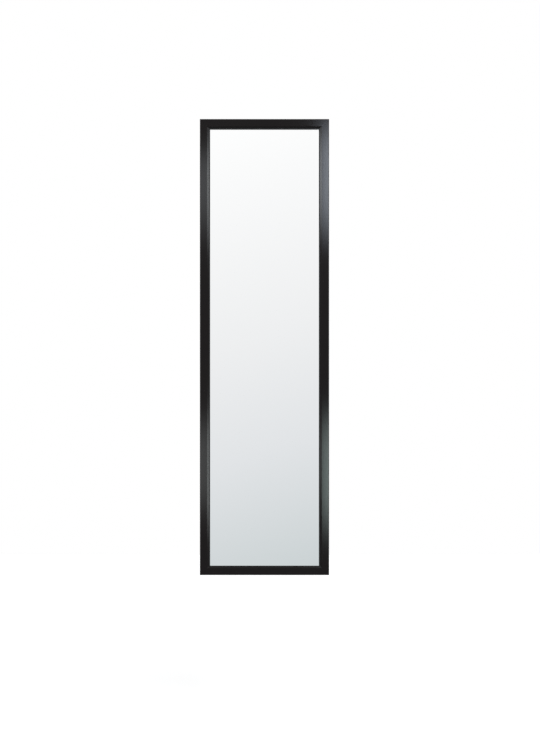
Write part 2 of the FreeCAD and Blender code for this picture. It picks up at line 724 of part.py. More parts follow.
def ring_on_pin(name, low, outside, inside, thickness):
    """A flat ring round the hinge pin, from that height up."""
    made = new_body(name)
    flat = new_sketch(made, "XY_Plane", low)
    draw_circle(flat, "0", "0", outside)
    draw_circle(flat, "0", "0", inside)
    pad(made, flat, thickness)
    return labelled(set_down(made, AXIS_X, f"-{AXIS_WALL}"), name)


def pin_circlip():
    low, inside = f"{CIRCLIP_TOP} - circlip_thickness", "pin_radius - circlip_groove"
    clip = ring_on_pin("pin_circlip", low, "circlip_radius", inside, "circlip_thickness")
    mouth = new_sketch(clip, "XY_Plane")
    draw_box(mouth, "-2 * circlip_radius", "-circlip_gap / 2", "0", "circlip_gap / 2")
    cut_through(clip, mouth)
    return clip


def friction_washers():
    washers = []
    for name, low in (("upper", FLANGE_TOP), ("lower", f"-{KNUCKLE_START}")):
        size = ("knuckle_radius", "pin_radius", "washer_thickness")
        washers.append(ring_on_pin(f"friction_washer_{name}", low, *size))
    return washers


def swivel_bushes():
    """Flanged bushes pressed into both ends of the barrel."""
    inside, outside, top = "pin_radius + bush_running", "pin_radius + bush_wall", "bush_length + bush_flange"
    outline = [
        (inside, "0"),
        (outside, "0"),
        (outside, "bush_length"),
        ("knuckle_radius", "bush_length"),
        ("knuckle_radius", top),
        (inside, top),
    ]
    bushes = []
    for name, sign, rotation in (("upper", "", UPRIGHT), ("lower", "-", HALF_TURN)):
        bush = new_body("swivel_bush_" + name)
        spin(bush, outline)
        set_down(bush, AXIS_X, f"-{AXIS_WALL}", f"{sign}(barrel_height / 2 - bush_length)", rotation)
        bushes.append(labelled(bush, "swivel_bush_" + name))
    return bushes


# ---- arm -------------------------------------------------------------------------------------------

ARM_SCREW_COUNT = 4
FIRST_ARM_SCREW, LAST_ARM_SCREW = f"({ARM_TAIL} + arm_screw_rear)", "(slide_length / 2 - arm_screw_front)"
ARM_SCREW_PITCH = f"({LAST_ARM_SCREW} - {FIRST_ARM_SCREW}) / {ARM_SCREW_COUNT - 1}"
ARM_SCREWS = [f"({FIRST_ARM_SCREW} + {i} * {ARM_SCREW_PITCH})" for i in range(ARM_SCREW_COUNT)]


def stop_lug_outline():
    """Stops the swivel. At the limit, the frame's back is knuckle_radius + knuckle_gap from the axis,
    along a normal that has turned with it, and the lug's corner stands just short of that plane."""
    reach, along = "(knuckle_radius + knuckle_gap - stop_play)", "(axis_inset - stop_inset)"
    normal, edge = "(swivel_limit * 1deg - 90deg)", "(swivel_limit * 1deg)"
    corner_x = f"{AXIS_X} + {reach} * cos({normal}) + {along} * cos({edge})"
    corner_y = f"{reach} * sin({normal}) + {along} * sin({edge}) - {AXIS_WALL}"
    far_x = f"{AXIS_X} - stop_back"
    return [(far_x, f"-{AXIS_WALL}"), (AXIS_X, f"-{AXIS_WALL}"), (corner_x, corner_y), (far_x, corner_y)]


def swivel_arm():
    """The plate on the slide's inner member, with the hinge barrel and its stop lug welded on."""
    arm = new_body("swivel_arm")
    upper = [
        (ARM_TAIL, "arm_height / 2"),
        (f"{AXIS_X} - arm_neck - arm_slope", "arm_height / 2"),
        (f"{AXIS_X} - arm_neck", "barrel_height / 2"),
        (AXIS_X, "barrel_height / 2"),
    ]
    outline = new_sketch(arm, "XZ_Plane", ARM_BACK)
    draw_outline(outline, both_halves(upper))
    pad(arm, outline, "arm_thickness")
    inner_x = number(f"{AXIS_X} - arm_corner")
    round_edges(arm, "arm_corner", lambda e: runs_along(e, ACROSS) and e.Vertexes[0].X < inner_x)
    barrel = new_sketch(arm, "XY_Plane")
    draw_circle(barrel, AXIS_X, f"-{AXIS_WALL}", "knuckle_radius")
    pad(arm, barrel, "barrel_height", symmetric=True)
    lug = new_sketch(arm, "XY_Plane")
    draw_outline(lug, stop_lug_outline())
    pad(arm, lug, "stop_height", symmetric=True)
    bore = new_sketch(arm, "XY_Plane")
    draw_circle(bore, AXIS_X, f"-{AXIS_WALL}", "pin_radius + bush_wall")
    cut_through(arm, bore)

    seat = new_sketch(arm, "XZ_Plane", ARM_FRONT)
    draw_circle(seat, f"{ARM_TAIL} + magnet_inset", "0", "magnet_radius")
    cut_in(arm, seat, "arm_thickness")
    holes = new_sketch(arm, "XZ_Plane", ARM_FRONT)
    for x in ARM_SCREWS:
        draw_circle(holes, x, "0", "arm_screw_radius")
    countersink(arm, holes, "arm_screw_radius", "arm_screw_head")
    return labelled(arm, "swivel_arm")


def arm_screws():
    sizes = ["arm_screw_radius", "arm_screw_head", "arm_screw_sink", "arm_screw_length"]
    screw = countersunk_screw("arm_screw", *sizes, "arm_screw_key")
    return repeated("arm_screws", screw, [(x, f"-{ARM_FRONT}", "0", HEAD_TO_ROOM) for x in ARM_SCREWS])


def disc(label, radius, length):
    """A cylinder that stands on z = 0."""
    made = doc.addObject("Part::Cylinder", label)
    bind(made, "Radius", radius)
    bind(made, "Height", length)
    return labelled(made, label)


def catch_magnet():
    magnet = disc("catch_magnet", "magnet_radius", "arm_thickness + stow_gap - touch_gap")
    return set_down(magnet, f"{ARM_TAIL} + magnet_inset", f"-{ARM_BACK}", "0", HEAD_TO_ROOM)


def arm_buffers():
    """Rubber discs that the hinge plate comes to rest against."""
    buffers = []
    for name, sign in (("upper", ""), ("lower", "-")):
        buffer_disc = disc("arm_buffer_" + name, "buffer_radius", "stow_gap - touch_gap")
        spot = (f"{ARM_TAIL} + buffer_inset", f"-{ARM_FRONT}", sign + "buffer_spread / 2")
        buffers.append(set_down(buffer_disc, *spot, HEAD_TO_ROOM))
    return buffers


# ---- slide -----------------------------------------------------------------------------------------

END_RIVET = "(slide_length / 2 - rivet_inset)"
RIVETS = [f"-{END_RIVET}", "-rivet_near", "rivet_near", END_RIVET]


def behind(depth):
    """A sketch's y for a depth from the slide's back, which lies on the channel's web."""
    return f"-(channel_wall + {depth})"


def slide_strip(label, upper, start, length):
    """A strip along X. Its section's upper half is given as (depth, height), with arcs as outlines."""
    strip = new_body(label)
    section = new_sketch(strip, "YZ_Plane", start)
    draw_outline(section, both_halves([(behind(point[0]), *point[1:]) for point in upper]))
    pad(strip, section, length)
    return labelled(strip, label)


def add_block(body, start, length, back, front, height):
    """A block along the slide, between two depths and at mid height."""
    section = new_sketch(body, "YZ_Plane", start)
    draw_box(section, behind(front), f"-{height} / 2", behind(back), f"{height} / 2")
    return pad(body, section, length)


def drill_web(body, places, radius, front, thickness):
    """Round holes at mid height through a web whose front is at that depth."""
    holes = new_sketch(body, "XZ_Plane", f"channel_wall + {front}")
    for x in places:
        draw_circle(holes, x, "0", radius)
    cut_in(body, holes, thickness)


def slide_outer_member():
    inside, outside = "(outer_row + race_offset)", "(outer_row + race_offset + slide_sheet)"
    upper = [
        ("slide_sheet", inside),
        (f"ball_line - {GROOVE}", inside, RACE, 1),
        (f"ball_line + {GROOVE}", inside),
        ("flange_reach", inside),
        ("flange_reach", outside),
        (f"ball_line + {RIDGE}", outside, RIDGE_RADIUS, -1),
        (f"ball_line - {RIDGE}", outside),
        ("0", outside),
    ]
    member = slide_strip("slide_outer_member", upper, "-slide_length / 2", "slide_length")
    tab_start, tab_front = "slide_length / 2 - stop_tab", "slide_sheet + stop_tab_height"
    add_block(member, tab_start, "stop_tab", "slide_sheet / 2", tab_front, "stop_tab_width")
    drill_web(member, RIVETS, "rivet_radius", "slide_sheet", "slide_sheet")
    return member


def slide_middle_member():
    inside, outside = "(inner_row + race_offset)", "(outer_row - race_offset)"
    upper = [
        (MIDDLE_FRONT, inside),
        (f"ball_line - {GROOVE}", inside, RACE, 1),
        (f"ball_line + {GROOVE}", inside),
        ("flange_reach", inside),
        ("flange_reach", outside),
        (f"ball_line + {GROOVE}", outside, RACE, 1),
        (f"ball_line - {GROOVE}", outside),
        (MIDDLE_BACK, outside),
    ]
    member = slide_strip("slide_middle_member", upper, MEMBER_START, MEMBER_LENGTH)
    web_middle = f"({MIDDLE_BACK} + slide_sheet / 2)"
    lug_back, tab_front = f"{MIDDLE_BACK} - stop_tab_height", f"{MIDDLE_FRONT} + stop_tab_height"
    add_block(member, MEMBER_START, "stop_lug", lug_back, web_middle, "stop_tab_width")
    tab_start = "slide_length / 2 - stop_tab"
    add_block(member, tab_start, "stop_tab", web_middle, tab_front, "stop_tab_width")
    return member


def slide_inner_member():
    inside, outside = "(inner_row - race_offset - slide_sheet)", "(inner_row - race_offset)"
    upper = [
        ("slide_depth - slide_sheet", inside),
        (f"ball_line + {RIDGE}", inside, RIDGE_RADIUS, 1),
        (f"ball_line - {RIDGE}", inside),
        (INNER_TIP, inside),
        (INNER_TIP, outside),
        (f"ball_line - {GROOVE}", outside, RACE, -1),
        (f"ball_line + {GROOVE}", outside),
        ("slide_depth", outside),
    ]
    member = slide_strip("slide_inner_member", upper, MEMBER_START, MEMBER_LENGTH)
    drill_web(member, ARM_SCREWS, "arm_screw_radius", "slide_depth", "slide_sheet")
    return member


def carriage_stop():
    """The block on the inner member that meets its ball cage when the slide is fully out."""
    stop = new_body("carriage_stop")
    back = f"{INNER_TIP} - stop_tab_height"
    add_block(stop, MEMBER_START, "stop_lug", back, "slide_depth - slide_sheet", "stop_block_width")
    return labelled(stop, "carriage_stop")


def slide_bumper():
    """The rubber block that the members meet when the slide is closed."""
    bumper = new_body("slide_bumper")
    front = "slide_depth - slide_sheet"
    add_block(bumper, "-slide_length / 2", "bumper_length", "slide_sheet", front, "stop_block_width")
    return labelled(bumper, "slide_bumper")


def ball_places():
    """Where the balls of a row are: as many as the cage has room for, about its middle."""
    room = number(f"{CAGE_LENGTH} - 2 * ball_radius - 2 * ball_end_room")
    count = int(room // number("ball_pitch")) + 1
    return [f"({CAGE_START} + {CAGE_LENGTH} / 2 + {i - (count - 1) / 2} * ball_pitch)" for i in range(count)]


def ball_cage(label, back, row):
    """A folded strip that spaces the balls between two members, with a hole for each ball."""
    near, far = f"({row} - cage_sheet / 2)", f"({row} + cage_sheet / 2)"
    upper = [(f"{back} + cage_sheet", near), ("cage_reach", near), ("cage_reach", far), (back, far)]
    cage = slide_strip(label, upper, CAGE_START, CAGE_LENGTH)
    holes = new_sketch(cage, "XY_Plane")
    for x in ball_places():
        draw_circle(holes, x, behind("ball_line"), "ball_radius + cage_hole_play")
    cut_through(cage, holes)
    return cage


def cage_balls(label, row):
    ball = doc.addObject("Part::Sphere", label + "_ball")
    bind(ball, "Radius", "ball_radius")
    spots = [(x, behind("ball_line"), sign + row, UPRIGHT) for x in ball_places() for sign in ("", "-")]
    return repeated(label, ball, spots)


def ball_sets():
    outer_back, inner_back = f"(slide_sheet + {CAGE_PLAY})", f"({MIDDLE_FRONT} + {CAGE_PLAY})"
    return [
        ball_cage("outer_ball_cage", outer_back, "outer_row"),
        cage_balls("outer_cage_balls", "outer_row"),
        ball_cage("inner_ball_cage", inner_back, "inner_row"),
        cage_balls("inner_cage_balls", "inner_row"),
    ]


def slide_rivets():
    rivet = disc("slide_rivet", "rivet_radius", "channel_wall + slide_sheet")
    return repeated("slide_rivets", rivet, [(x, "0", "0", HEAD_TO_ROOM) for x in RIVETS])


# ---- wall channel ----------------------------------------------------------------------------------

CHANNEL_TOP = "(channel_height / 2)"
CHANNEL_INSIDE = f"({CHANNEL_TOP} - channel_wall)"


def round_back(body):
    """Rounds the lengthwise edges of the channel's back, or of a cap's."""

    def on_back(edge):
        place = edge.Vertexes[0]
        return abs(place.Y) < TINY and abs(abs(place.Z) - number(CHANNEL_TOP)) < TINY

    round_edges(body, "channel_bend", lambda e: runs_along(e, LENGTHWISE) and on_back(e))


def wall_channel():
    """The U-shaped channel that is screwed to the wardrobe's side panel."""
    channel = new_body("wall_channel")
    upper = [
        ("-channel_wall", CHANNEL_INSIDE),
        ("-channel_depth", CHANNEL_INSIDE),
        ("-channel_depth", CHANNEL_TOP),
        ("0", CHANNEL_TOP),
    ]
    section = new_sketch(channel, "YZ_Plane")
    draw_outline(section, both_halves(upper))
    pad(channel, section, "slide_length", symmetric=True)
    round_back(channel)
    holes = new_sketch(channel, "XZ_Plane", "channel_wall")
    for x in RIVETS:
        draw_circle(holes, x, "0", "rivet_radius")
    for sign_x in ("", "-"):
        for sign_z in ("", "-"):
            x, z = sign_x + "mount_pitch_along / 2", sign_z + "mount_pitch_up / 2"
            draw_circle(holes, x, z, "mount_hole_radius")
    cut_in(channel, holes, "channel_wall")
    return labelled(channel, "wall_channel")


def end_cap(label, slotted, x, rotation):
    """A cap on an end of the channel, with two plugs that go into it, drawn for the +X end."""
    cap = new_body(label)
    slot = "(cap_slot_height / 2)"
    upper = [("-channel_depth", CHANNEL_TOP), ("0", CHANNEL_TOP)]
    if slotted:
        upper = [("-channel_wall", slot), ("-channel_depth", slot)] + upper
    face = new_sketch(cap, "YZ_Plane")
    draw_outline(face, both_halves(upper))
    pad(cap, face, "cap_thickness")
    round_back(cap)
    plugs = new_sketch(cap, "YZ_Plane")
    front, back = "-(channel_depth - cap_plug_gap)", "-(channel_wall + cap_plug_gap)"
    for sign in ("", "-"):
        draw_box(plugs, front, sign + slot, back, f"{sign}({CHANNEL_INSIDE} - cap_plug_gap)")
    pad(cap, plugs, "cap_plug").Reversed = True
    return labelled(set_down(cap, x, rotation=rotation), label)


def end_caps():
    return [
        end_cap("channel_front_cap", True, "slide_length / 2", UPRIGHT),
        end_cap("channel_rear_cap", False, "-slide_length / 2", HALF_TURN),
    ]


# ---- the whole mirror ------------------------------------------------------------------------------


def build():
    """Every sub-part, from the mirror back to the wall."""
    mirror = frame_rails() + corner_keys() + [corner_set_screws()] + glazing_gaskets() + panes()
    mirror += retaining_beads()
    front_strip = nut_strip("front_nut_strip", FRONT_SCREW_X, FRONT_SCREWS, "front_screw_far")
    rear_strip = nut_strip("rear_nut_strip", REAR_SCREW_X, REAR_SCREWS, "rear_screw_far")
    hinge = [front_strip, rear_strip, hinge_plate(), hinge_plate_screws(), hinge_pin(), pin_circlip()]
    hinge += friction_washers()
    arm = [swivel_arm()] + swivel_bushes() + [arm_screws(), catch_magnet()] + arm_buffers()
    slide = [slide_inner_member(), carriage_stop(), slide_middle_member()] + ball_sets()
    wall = [slide_outer_member(), slide_bumper(), slide_rivets(), wall_channel()] + end_caps()
    return mirror + hinge + arm + slide + wall


def check(sub_parts):
    """Stops if any object failed, or a sub-part isn't made of whole solids."""
    for item in doc.Objects:
        if "Invalid" in item.State or "Error" in item.State:
            raise SystemExit(f"{item.Name} ({item.Label}) failed: {item.State}")
    for item in sub_parts:
        if item.Shape.isNull() or not item.Shape.isValid() or not item.Shape.Solids:
            raise SystemExit(f"{item.Label} has no valid solid")


def write(sub_parts):
    os.makedirs("parts", exist_ok=True)
    for item in sub_parts:
        item.Shape.exportStep(f"parts/{item.Label}.step")
        print(f"{item.Label:24s} solids {len(item.Shape.Solids):2d}  volume {item.Shape.Volume:10.1f}")


sub_parts = build()
doc.recompute()
check(sub_parts)
write(sub_parts)
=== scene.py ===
"""Looks, light and camera for the pull-out closet mirror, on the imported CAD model."""
import math

import bmesh
import bpy
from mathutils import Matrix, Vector

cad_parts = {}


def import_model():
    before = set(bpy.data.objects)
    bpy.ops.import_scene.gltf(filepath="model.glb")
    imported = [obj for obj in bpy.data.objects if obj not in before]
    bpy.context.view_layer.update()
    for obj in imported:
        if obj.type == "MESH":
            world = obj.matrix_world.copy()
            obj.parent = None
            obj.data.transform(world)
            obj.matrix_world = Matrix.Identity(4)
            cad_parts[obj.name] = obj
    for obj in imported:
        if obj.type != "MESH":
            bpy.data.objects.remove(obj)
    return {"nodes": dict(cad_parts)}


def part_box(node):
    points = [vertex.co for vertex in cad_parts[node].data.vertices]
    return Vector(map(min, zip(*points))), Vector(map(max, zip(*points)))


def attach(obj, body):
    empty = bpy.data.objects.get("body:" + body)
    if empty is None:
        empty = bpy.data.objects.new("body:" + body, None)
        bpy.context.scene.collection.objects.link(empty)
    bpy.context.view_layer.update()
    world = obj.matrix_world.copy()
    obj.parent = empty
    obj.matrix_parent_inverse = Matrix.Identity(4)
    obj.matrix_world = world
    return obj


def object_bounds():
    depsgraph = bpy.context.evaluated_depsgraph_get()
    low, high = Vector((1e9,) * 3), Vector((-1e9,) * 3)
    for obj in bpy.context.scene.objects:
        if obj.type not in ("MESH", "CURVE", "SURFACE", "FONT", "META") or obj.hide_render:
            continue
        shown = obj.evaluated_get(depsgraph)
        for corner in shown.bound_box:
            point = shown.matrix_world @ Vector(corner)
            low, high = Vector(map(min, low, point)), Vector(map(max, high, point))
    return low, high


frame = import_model()
cad_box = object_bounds()
scene = bpy.context.scene
nodes = frame["nodes"]

MM = 0.001

# CAD nodes that go together
SIDES = ("left", "right", "top", "bottom")
CORNERS = ("bottom_left", "bottom_right", "top_right", "top_left")
STILES = ["frame_left_stile", "frame_right_stile"]
RAILS = ["frame_top_rail", "frame_bottom_rail"]
GASKETS = [f"glazing_gasket_{side}" for side in SIDES]
RETAINING_BEADS = [f"retaining_bead_{side}" for side in SIDES]
CORNER_KEYS = [f"corner_key_{corner}" for corner in CORNERS]

# sockets of a Mix node that mixes colours
MIX_SHARE, MIX_LOW, MIX_HIGH = 0, 6, 7
MIX_COLOUR = 2  # its output

# weld beads
RING_POINTS = 12
WELD_HALF_WIDTH = 1.3 * MM
WELD_RISE = 0.72  # of the half width
RIPPLE = 1.4 * MM
RINGS_PER_RIPPLE = 8
RIPPLE_LAG = 0.5  # of a ripple
RIPPLE_SWELL = 0.14  # of the half width, where a ripple begins
WANDER_SWELL = 0.05  # of the half width
WANDER_TURN = 330  # radians a metre
WELD_TIP = 0.15  # how full the bead is at its very ends
KNUCKLE_MARGIN = 1 * MM
BARREL_MARGIN = 2.5 * MM

# floor
FLOOR_Z = -0.95
FLOOR_HALF_WIDTH, FLOOR_FRONT, FLOOR_BACK = 4.0, -3.0, 4.0
FLOOR_LIFT = 0.1  # added where the camera sees the floor, so that it goes white like the photograph's
LOW_GREY = (0.585, 0.635, 0.645)  # what gloss and glass see of the floor

# world: what gloss and glass see, by height (the z of the direction)
SKY_LOW, SKY_HIGH = -0.12, 0.13
SKY_STOPS = [
    (0.0, LOW_GREY),
    (0.3, (0.765, 0.782, 0.8)),
    (0.55, (0.868, 0.873, 0.88)),
    (1.0, (1.0, 1.0, 1.0)),
]
SKY_LEAN = 0.012  # how much the tones rise and fall to the sides
SKY_LEAN_REACH = 0.04  # the x of the direction at which they do so in full
AMBIENT = (0.56, 0.565, 0.57)  # what lights matt surfaces

# Strip lamps in front of the mirror: from x to x, from z to z, how far the strip fades at its lower and upper
# end, radiance, tint, and what it lights. The near ones shine in the frame's black faces, and the far ones in
# the inner edge of the opposite stile.
STRIPS = {
    "upper_right": ((0.155, 0.30), (0.26, 0.71), (0.20, 0.14), 27.0, (0.91, 1.0, 1.13), "faces"),
    "upper_far_right": ((0.30, 0.50), (0.26, 0.68), (0.20, 0.14), 16.0, (0.95, 1.0, 1.0), "left_edge"),
    "upper_left": ((-0.28, -0.12), (0.27, 0.62), (0.20, 0.10), 6.3, (0.95, 1.0, 1.05), "faces"),
    "upper_far_left": ((-0.46, -0.28), (0.29, 0.71), (0.20, 0.13), 21.0, (0.95, 1.0, 1.05), "right_edge"),
    "lower_right": ((0.16, 0.30), (-0.595, -0.135), (0.19, 0.18), 22.0, (0.82, 1.0, 0.98), "faces"),
    "lower_far_right": ((0.30, 0.50), (-0.59, -0.14), (0.15, 0.16), 13.5, (0.95, 1.0, 1.0), "left_edge"),
    "lower_left": ((-0.28, -0.14), (-0.53, -0.145), (0.16, 0.16), 6.0, (0.95, 1.0, 1.0), "faces"),
    "lower_far_left": ((-0.46, -0.28), (-0.53, -0.16), (0.19, 0.17), 4.0, (0.95, 1.0, 1.0), "right_edge"),
}
STRIP_RECEIVERS = {
    "faces": STILES + RAILS + GASKETS,
    "left_edge": ["frame_left_stile", "glazing_gasket_left"],
    "right_edge": ["frame_right_stile", "glazing_gasket_right"],
}
STRIP_Y = -0.59
STRIP_FADE = 0.015  # at the left and right edge

# camera
CAMERA_AWAY = 5.0  # from the frame's face
CAMERA_X, CAMERA_Z = 0.0145, -0.0485
CAMERA_SENSOR = 36  # mm, along the picture's height
VIEW_HEIGHT = 1.923  # what the picture's height spans at the frame's face


# ---- helpers -----------------------------------------------------------------------------------------


def grey(value):
    return (value, value, value)


class Nodes:
    """Short ways to add nodes to the node tree of a material, the world or a lamp."""

    def __init__(self, tree):
        self.tree = tree

    def set_or_link(self, socket, value):
        if isinstance(value, bpy.types.NodeSocket):
            self.tree.links.new(value, socket)
        else:
            socket.default_value = value

    def node(self, kind, sockets=None, **properties):
        made = self.tree.nodes.new(kind)
        for key, value in properties.items():
            setattr(made, key, value)
        for key, value in (sockets or {}).items():
            self.set_or_link(made.inputs[key], value)
        return made

    def span(self, value, low, high, start=0.3, end=0.7, how="LINEAR"):
        """Maps start..end of a value to low..high. Noise lies mostly from 0.3 to 0.7."""
        sockets = {"Value": value, "From Min": start, "From Max": end, "To Min": low, "To Max": high}
        return self.node("ShaderNodeMapRange", sockets, interpolation_type=how).outputs["Result"]

    def rise(self, value, start=0.3, end=0.7, how="LINEAR"):
        """0 as far as the start, and 1 from the end on."""
        return self.span(value, 0.0, 1.0, start, end, how)

    def maths(self, operation, a, b=0.0):
        return self.node("ShaderNodeMath", {0: a, 1: b}, operation=operation).outputs[0]

    def times(self, a, b):
        return self.maths("MULTIPLY", a, b)

    def plus(self, a, b):
        return self.maths("ADD", a, b)

    def minus(self, a, b):
        return self.maths("SUBTRACT", a, b)

    def blend(self, share, low, high):
        """A colour between two colours."""
        mix = self.node("ShaderNodeMix", data_type="RGBA")
        self.set_or_link(mix.inputs[MIX_SHARE], share)
        for index, colour in ((MIX_LOW, low), (MIX_HIGH, high)):
            self.set_or_link(mix.inputs[index], (*colour, 1) if isinstance(colour, tuple) else colour)
        return mix.outputs[MIX_COLOUR]

    def axes(self, vector):
        """The X, Y and Z of a vector."""
        return self.node("ShaderNodeSeparateXYZ", {0: vector}).outputs

    def shiny_ray(self):
        """1 for rays from gloss or through glass."""
        path = self.node("ShaderNodeLightPath").outputs
        return self.maths("MAXIMUM", path["Is Glossy Ray"], path["Is Transmission Ray"])

    def camera_ray(self):
        return self.node("ShaderNodeLightPath").outputs["Is Camera Ray"]


class Look(Nodes):
    """A procedural material on object coordinates, which are metres in the model's frame."""

    def __init__(self, name, **settings):
        self.material = bpy.data.materials.new(name)
        self.material.use_nodes = True
        super().__init__(self.material.node_tree)
        self.shader = next(n for n in self.tree.nodes if n.type == "BSDF_PRINCIPLED")
        for key, value in settings.items():
            self.shader.inputs[key.replace("_", " ")].default_value = value

    def plug(self, output, name):
        self.tree.links.new(output, self.shader.inputs[name])

    def place(self):
        return self.node("ShaderNodeTexCoord").outputs["Object"]

    def noise(self, size, detail=3, stretch=(1, 1, 1), distortion=0.0):
        """Noise from 0 to 1 with spots about that many metres across."""
        place = self.node("ShaderNodeMapping", {"Vector": self.place(), "Scale": stretch}).outputs["Vector"]
        sockets = {"Vector": place, "Scale": 1 / size, "Detail": detail, "Distortion": distortion}
        return self.node("ShaderNodeTexNoise", sockets).outputs["Fac"]

    def rounded(self, radius):
        """The surface's normal with its sharp edges rounded."""
        return self.node("ShaderNodeBevel", {"Radius": radius}, samples=6).outputs["Normal"]

    def edges(self, radius):
        """1 on the sharp edges and 0 on the flats, broken up so that the wear isn't even."""
        flat = self.node("ShaderNodeNewGeometry").outputs["Normal"]
        dot = self.node("ShaderNodeVectorMath", {0: flat, 1: self.rounded(radius)}, operation="DOT_PRODUCT")
        edge = self.rise(self.minus(1.0, dot.outputs["Value"]), 0.02, 0.25)
        return self.times(edge, self.rise(self.noise(6 * MM)))

    def bump(self, height, depth, strength, edge=0.0):
        """Plugs in a relief, on edges rounded by that radius."""
        sockets = {"Height": height, "Distance": depth, "Strength": strength}
        if edge:
            sockets["Normal"] = self.rounded(edge)
        self.plug(self.node("ShaderNodeBump", sockets).outputs["Normal"], "Normal")

    def wear(self, *names):
        """Puts the look on CAD nodes."""
        for name in names:
            for slot in nodes[name].material_slots:
                slot.material = self.material
        return self


# ---- looks -------------------------------------------------------------------------------------------


def inward(look, low, high, axis):
    """How far in from the nearer of two sides of the frame, along one axis."""
    place = look.axes(look.place())[axis]
    return look.maths("MINIMUM", look.minus(place, low), look.minus(high, place))


def anodised(name, along):
    """Satin black anodised extrusion: die lines along it, and a hairline where the mitres meet."""
    look = Look(name, Specular_IOR_Level=0.1)
    lines = look.noise(0.35 * MM, detail=4, stretch=(0.004, 1, 1) if along == "X" else (1, 1, 0.004))
    patches = look.noise(90 * MM, detail=2)
    low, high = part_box("frame_left_stile")[0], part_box("frame_right_stile")[1]
    aside = inward(look, low[0], high[0], "X")
    above = inward(look, low[2], high[2], "Z")
    off_mitre = look.maths("ABSOLUTE", look.minus(aside, above))
    joint = look.rise(off_mitre, 0.06 * MM, 0.16 * MM)  # 0 in the hairline
    base = look.blend(patches, (0.0068, 0.0056, 0.0058), (0.0078, 0.0064, 0.0066))
    look.plug(look.blend(joint, grey(0.0004), base), "Base Color")
    satin = look.plus(look.span(patches, 0.14, 0.16), look.span(lines, -0.02, 0.02))
    look.plug(look.plus(satin, look.span(joint, 0.5, 0.0, start=0.0, end=1.0)), "Roughness")
    relief = look.plus(look.times(lines, 0.05), joint)
    look.bump(relief, depth=0.06 * MM, strength=0.6, edge=0.15 * MM)
    return look


def rubber(name, tone, grain):
    """Matt black rubber, paler where dust lies on it."""
    look = Look(name, Specular_IOR_Level=0.25)
    dust = look.noise(12 * MM, detail=4)
    look.plug(look.blend(dust, grey(tone), grey(tone * 1.7)), "Base Color")
    look.plug(look.span(dust, 0.62, 0.78), "Roughness")
    look.bump(look.noise(grain), depth=0.05 * MM, strength=0.5, edge=0.2 * MM)
    return look


def silvered_glass():
    """Mirror glass with the least haze and waviness."""
    look = Look("silvered_glass_look", Metallic=1.0)
    haze = look.noise(160 * MM)
    look.plug(look.blend(haze, (0.982, 0.988, 0.99), (0.99, 0.993, 0.993)), "Base Color")
    look.plug(look.span(haze, 0.012, 0.022), "Roughness")
    look.bump(look.noise(220 * MM, detail=1), depth=0.02 * MM, strength=0.3)
    return look


def plain(name, low, high, rough, grain, depth, metallic=0.0, level=0.5):
    """A plain surface: two close tones, a range of roughness, and the size and depth of a fine grain."""
    look = Look(name, Metallic=metallic, Specular_IOR_Level=level)
    cloud = look.noise(18 * MM)
    look.plug(look.blend(cloud, low, high), "Base Color")
    look.plug(look.span(cloud, *rough), "Roughness")
    look.bump(look.noise(grain, detail=4), depth, strength=0.6, edge=0.25 * MM)
    return look


def hardboard():
    """Hardboard, smooth side out: pressed fibres in two browns, with a faint waxy sheen."""
    look = Look("hardboard_look", Specular_IOR_Level=0.35)
    fibres = look.noise(1.6 * MM, detail=8, stretch=(1, 1, 0.55), distortion=1.2)
    flecks = look.rise(look.noise(0.7 * MM, detail=2, stretch=(0.4, 1, 1), distortion=0.6), 0.6, 0.75)
    cloud = look.noise(140 * MM)
    base = look.blend(look.rise(fibres), (0.155, 0.083, 0.042), (0.26, 0.155, 0.088))
    base = look.blend(look.times(flecks, 0.55), base, (0.085, 0.043, 0.022))
    base = look.blend(look.span(cloud, 0.0, 0.35), base, (0.21, 0.125, 0.07))
    look.plug(base, "Base Color")
    look.plug(look.span(fibres, 0.42, 0.58), "Roughness")
    look.bump(fibres, depth=0.06 * MM, strength=0.5)
    return look


def powder_coat():
    """Black powder coat with a fine orange peel, rubbed to grey on its edges."""
    look = Look("powder_coat_look", Specular_IOR_Level=0.4)
    peel = look.noise(0.9 * MM)
    cloud = look.noise(35 * MM, detail=4, distortion=0.6)
    dust = look.times(look.rise(look.noise(7 * MM, detail=6), 0.5, 0.8), 0.25)
    worn = look.times(look.edges(0.5 * MM), 0.45)
    base = look.blend(cloud, (0.0135, 0.0135, 0.014), (0.022, 0.022, 0.0225))
    base = look.blend(dust, base, (0.05, 0.048, 0.045))
    look.plug(look.blend(worn, base, (0.11, 0.11, 0.112)), "Base Color")
    look.plug(look.plus(look.span(cloud, 0.4, 0.5), look.span(peel, -0.05, 0.05)), "Roughness")
    look.bump(peel, depth=0.12 * MM, strength=0.6, edge=0.5 * MM)
    return look


def zinc(name, low, high, stretch=(0.02, 1, 1)):
    """Bright zinc plate: faint lines from rolling or turning, and a cloudy passivation."""
    look = Look(name, Metallic=1.0)
    lines = look.noise(0.25 * MM, detail=5, stretch=stretch)
    cloud = look.noise(30 * MM, stretch=(0.5, 1, 1), distortion=0.5)
    base = look.blend(look.rise(cloud), low, high)
    look.plug(look.blend(look.times(look.edges(0.25 * MM), 0.4), base, (0.74, 0.75, 0.76)), "Base Color")
    look.plug(look.plus(look.span(cloud, 0.27, 0.34), look.span(lines, -0.06, 0.06)), "Roughness")
    look.bump(lines, depth=0.012 * MM, strength=0.6, edge=0.25 * MM)
    return look


